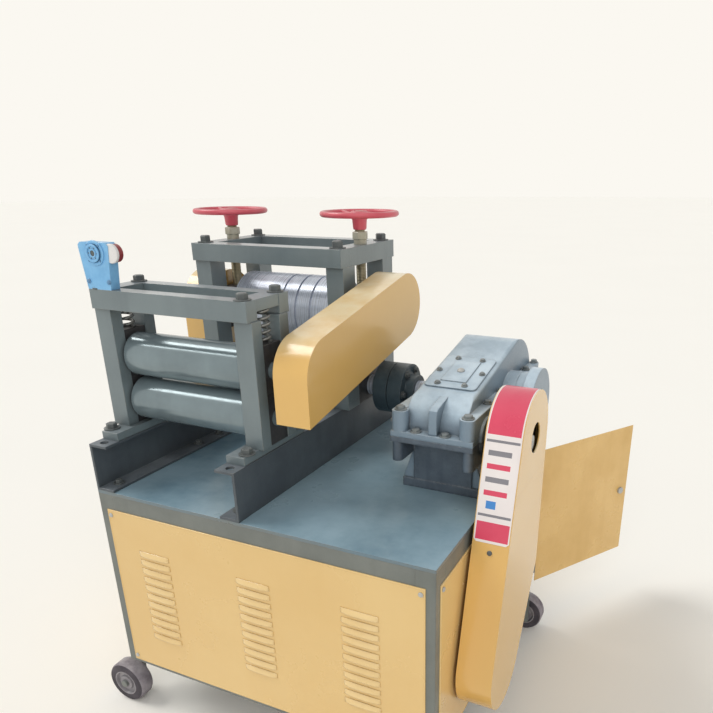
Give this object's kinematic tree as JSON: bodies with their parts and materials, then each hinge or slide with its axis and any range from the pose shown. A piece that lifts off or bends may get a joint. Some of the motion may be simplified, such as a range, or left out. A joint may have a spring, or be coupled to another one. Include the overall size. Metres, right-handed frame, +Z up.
{
  "type": "rebar straightening machine",
  "caption": "Bar straightening machine: a sprung feed roll stand and a screw-down roll stand with a speed reducer and belt drive on a louvred steel cabinet with wheels.",
  "frame": {"origin": "middle of the footprint, with the back door open as at rest, on the floor under the wheels", "axes": "+X to the drive side, on the right of a person facing the feed end, +Y from the feed end to the back, +Z up"},
  "size_m": [1.2414, 1.1526, 1.2855],
  "materials": {
    "grey_green_paint": "satin",
    "table_paint": "satin",
    "yellow_paint": "gloss",
    "dark_iron": "oiled",
    "dark_rubber": "matte",
    "bright_steel": "ground",
    "red_paint": "gloss",
    "blue_paint": "gloss",
    "motor_paint": "satin",
    "reducer_paint": "satin"
  },
  "bodies": {
    "machine": {"cabinet_posts": "grey_green_paint", "cabinet_rails": "grey_green_paint", "table_plate": "table_paint", "front_panel": "yellow_paint", "left_panel": "yellow_paint", "right_panel": "yellow_paint", "back_panel": "yellow_paint", "door_hinges": "dark_iron", "motor": "motor_paint", "motor_rails": "grey_green_paint", "axle_brackets": "dark_iron", "left_channel": "grey_green_paint", "right_channel": "grey_green_paint", "stand_bases": "grey_green_paint", "front_columns": "grey_green_paint", "front_ties": "grey_green_paint", "front_side_bars": "grey_green_paint", "front_lower_chocks": "dark_iron", "front_springs": "bright_steel", "rear_columns": "grey_green_paint", "rear_ties": "grey_green_paint", "rear_side_beams": "grey_green_paint", "rear_lower_chocks": "dark_iron", "screw_nuts": "bright_steel", "gear_guard": "yellow_paint", "chain_guard": "yellow_paint", "reducer_base": "reducer_paint", "reducer_cover": "reducer_paint", "inspection_cover": "reducer_paint", "bearing_caps": "reducer_paint", "belt_guard_box": "yellow_paint", "belt_guard_cap": "yellow_paint", "guard_brackets": "grey_green_paint", "feed_reducer": "blue_paint", "feed_reducer_cap": "red_paint"},
    "lower_main_roll": {"rear_lower_roll": "bright_steel", "shaft_coupling": "dark_iron"},
    "upper_carriage": {"rear_upper_chocks": "dark_iron"},
    "upper_main_roll": {"rear_upper_roll": "bright_steel"},
    "left_screw_down": {"left_screw": "bright_steel", "left_handwheel": "red_paint"},
    "right_screw_down": {"right_screw": "bright_steel", "right_handwheel": "red_paint"},
    "front_lower_roller": {"front_lower_roll": "bright_steel"},
    "front_carriage": {"front_upper_chocks": "dark_iron"},
    "front_upper_roller": {"front_upper_roll": "bright_steel"},
    "input_drive": {"input_pulley": "bright_steel"},
    "door_leaf": {"back_door": "yellow_paint", "door_lock": "dark_iron"},
    "wheel_fl": {"front_left_wheel": "dark_rubber"},
    "wheel_fr": {"front_right_wheel": "dark_rubber"},
    "wheel_rl": {"rear_left_wheel": "dark_rubber"},
    "wheel_rr": {"rear_right_wheel": "dark_rubber"}
  },
  "joints": [
    {"name": "main_roll_spin", "type": "hinge", "parent": "machine", "child": "lower_main_roll", "pos_m": [-0.28618, 0.04174, 0.815], "axis": [1, 0, 0], "continuous": true},
    {"name": "upper_roll_lift", "type": "slide", "parent": "machine", "child": "upper_carriage", "axis": [0, 0, 1], "range_m": [0, 0.015]},
    {"name": "upper_roll_spin", "type": "hinge", "parent": "upper_carriage", "child": "upper_main_roll", "pos_m": [-0.28618, 0.04174, 1.015], "axis": [1, 0, 0], "continuous": true},
    {"name": "left_handwheel_turn", "type": "hinge", "parent": "upper_carriage", "child": "left_screw_down", "pos_m": [-0.49567, 0.04174, 1.015], "axis": [0, 0, 1], "range_deg": [0, 1350]},
    {"name": "right_handwheel_turn", "type": "hinge", "parent": "upper_carriage", "child": "right_screw_down", "pos_m": [-0.07667, 0.04174, 1.015], "axis": [0, 0, 1], "range_deg": [0, 1350]},
    {"name": "front_lower_spin", "type": "hinge", "parent": "machine", "child": "front_lower_roller", "pos_m": [-0.28618, -0.40026, 0.857], "axis": [1, 0, 0], "continuous": true},
    {"name": "front_roll_spring", "type": "slide", "parent": "machine", "child": "front_carriage", "axis": [0, 0, 1], "range_m": [0, 0.008], "stiffness_N_per_m": 40000, "springref_m": -0.005, "deforming": ["front_springs"]},
    {"name": "front_upper_spin", "type": "hinge", "parent": "front_carriage", "child": "front_upper_roller", "pos_m": [-0.28618, -0.40026, 0.968], "axis": [1, 0, 0], "continuous": true},
    {"name": "input_spin", "type": "hinge", "parent": "machine", "child": "input_drive", "pos_m": [0.27632, -0.21526, 0.815], "axis": [1, 0, 0], "continuous": true},
    {"name": "back_door_swing", "type": "hinge", "parent": "machine", "child": "door_leaf", "pos_m": [0.40432, 0.23874, 0.149], "axis": [0, 0, 1], "range_deg": [-50, 122.5]},
    {"name": "wheel_fl_roll", "type": "hinge", "parent": "machine", "child": "wheel_fl", "pos_m": [-0.52968, -0.54776, 0.059], "axis": [0, 1, 0], "continuous": true},
    {"name": "wheel_fr_roll", "type": "hinge", "parent": "machine", "child": "wheel_fr", "pos_m": [0.43033, -0.54776, 0.059], "axis": [0, 1, 0], "continuous": true},
    {"name": "wheel_rl_roll", "type": "hinge", "parent": "machine", "child": "wheel_rl", "pos_m": [-0.48968, 0.21924, 0.059], "axis": [0, 1, 0], "continuous": true},
    {"name": "wheel_rr_roll", "type": "hinge", "parent": "machine", "child": "wheel_rr", "pos_m": [0.39032, 0.21924, 0.059], "axis": [0, 1, 0], "continuous": true}
  ],
  "couplings": [
    {"joint": "upper_roll_spin", "follows": "main_roll_spin", "ratio": -1},
    {"joint": "front_upper_spin", "follows": "main_roll_spin", "ratio": -1.8302},
    {"joint": "input_spin", "follows": "main_roll_spin", "ratio": 15.75},
    {"joint": "left_handwheel_turn", "follows": "upper_roll_lift", "rad_per_m": 1570.6},
    {"joint": "right_handwheel_turn", "follows": "upper_roll_lift", "rad_per_m": 1570.6}
  ]
}
